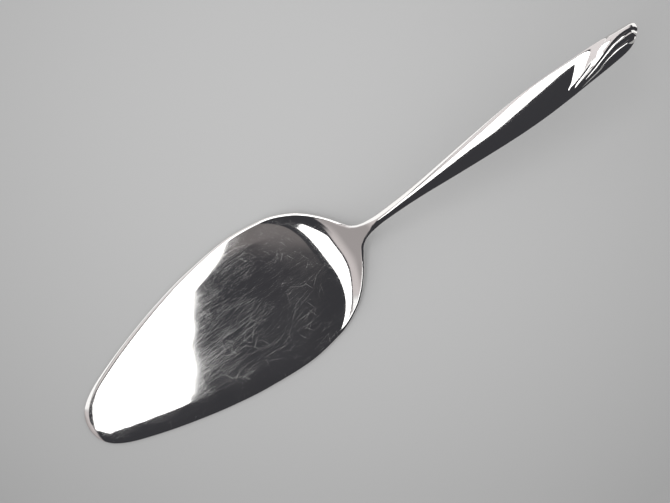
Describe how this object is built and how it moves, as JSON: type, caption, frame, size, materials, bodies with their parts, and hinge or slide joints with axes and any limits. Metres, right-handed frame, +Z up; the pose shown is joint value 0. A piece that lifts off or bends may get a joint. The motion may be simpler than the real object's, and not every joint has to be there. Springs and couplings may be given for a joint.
{
  "type": "cake server",
  "caption": "Cake server: a flat leaf-shaped blade with a dished heel, and a slender arched handle with a one-sided fluted swirl at its end.",
  "frame": {"origin": "centre line of the blade's flat underside, midway along the flat, on the surface that the server lies on", "axes": "+X along the server from the blade's tip towards the end of the handle, +Z up out of the blade's top, +Y across the blade"},
  "size_m": [0.2532, 0.0584, 0.0382],
  "materials": {
    "silver_blade": "polished silver plate with fine scratches from use",
    "silver_handle": "polished silver plate, darker in the flutes",
    "solder": "polished silver solder under the plate"
  },
  "bodies": {
    "root": {"blade": "silver_blade", "handle": "silver_handle", "solder_seam": "solder"}
  },
  "joints": []
}
